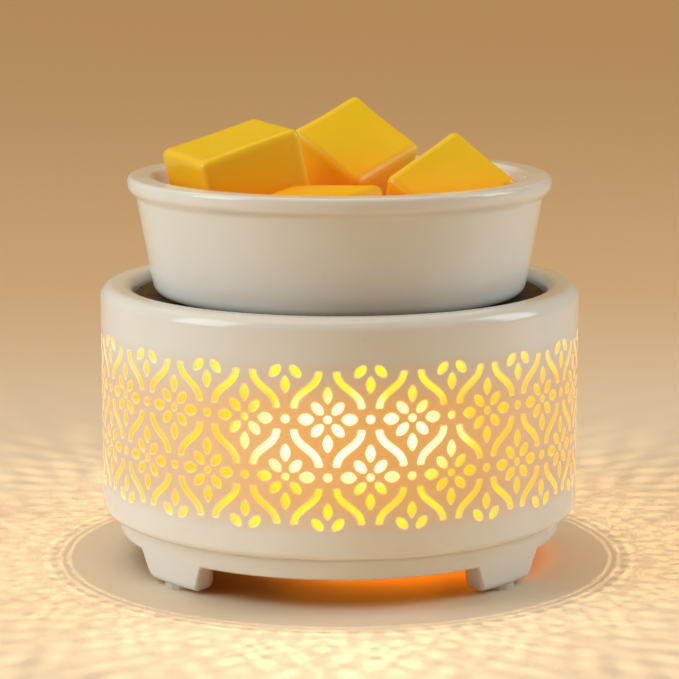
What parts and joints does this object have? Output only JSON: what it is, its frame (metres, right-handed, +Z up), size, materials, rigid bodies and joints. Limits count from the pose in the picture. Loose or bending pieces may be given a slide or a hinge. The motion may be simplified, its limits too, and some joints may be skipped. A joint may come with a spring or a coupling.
{
  "type": "electric wax warmer",
  "caption": "Electric wax warmer: pierced ceramic drum lit from inside, heated top plate, and a lift-off flared dish holding wax cubes.",
  "frame": {"origin": "on the table under the middle of the drum", "axes": "+Z up, -Y is the front, +X to the right as seen from the front"},
  "size_m": [0.13, 0.13, 0.1233],
  "materials": {
    "glazed_ivory": "glossy ivory glaze",
    "matt_ivory": "satin ivory bisque",
    "yellow_wax": "smooth slightly translucent wax",
    "dark_plate": "dark brown speckled heat-proof coating",
    "silicone": "matt",
    "frosted_liner": "frosted, lit from inside",
    "lamp_glass": "frosted glass",
    "brass": "stamped",
    "mica": "mica and ceramic fibre",
    "black_phenolic": "moulded",
    "red_wire": "insulated wire",
    "white_wire": "insulated wire",
    "zinc_steel": "zinc plated"
  },
  "bodies": {
    "root": {"bottom_cover": "zinc_steel", "bracket_screw_1": "zinc_steel", "bracket_screw_2": "zinc_steel", "ceramic_shell": "glazed_ivory", "clamp_nut_1": "zinc_steel", "clamp_nut_2": "zinc_steel", "clamp_nut_3": "zinc_steel", "clamp_nut_4": "zinc_steel", "cord_gland": "black_phenolic", "foot_base": "matt_ivory", "foot_pad_1": "silicone", "foot_pad_2": "silicone", "foot_pad_3": "silicone", "foot_pad_4": "silicone", "heater_clamp": "zinc_steel", "heater_element": "mica", "heater_lead_1": "red_wire", "heater_lead_2": "white_wire", "holder_nut": "black_phenolic", "hot_plate": "dark_plate", "insulation_disc": "mica", "lamp_bracket": "zinc_steel", "lamp_cap": "brass", "lamp_filament": "zinc_steel", "lamp_glass": "lamp_glass", "lamp_holder": "black_phenolic", "lamp_lead_1": "red_wire", "lamp_lead_2": "white_wire", "light_sleeve": "frosted_liner", "plate_seal": "silicone", "terminal_block": "black_phenolic", "thermal_fuse": "zinc_steel", "thermostat": "black_phenolic", "tie_nut_1": "zinc_steel", "tie_nut_2": "zinc_steel", "tie_nut_3": "zinc_steel", "tie_nut_4": "zinc_steel", "tie_rod_1": "zinc_steel", "tie_rod_2": "zinc_steel", "tie_rod_3": "zinc_steel", "tie_rod_4": "zinc_steel"},
    "dish": {"wax_dish": "glazed_ivory", "wax_cube_1": "yellow_wax", "wax_cube_2": "yellow_wax", "wax_cube_3": "yellow_wax", "wax_cube_4": "yellow_wax", "wax_cube_5": "yellow_wax", "wax_cube_6": "yellow_wax"}
  },
  "joints": [
    {"name": "dish_lift", "type": "slide", "parent": "root", "child": "dish", "axis": [0, 0, 1], "range_m": [0, 0.12]}
  ]
}
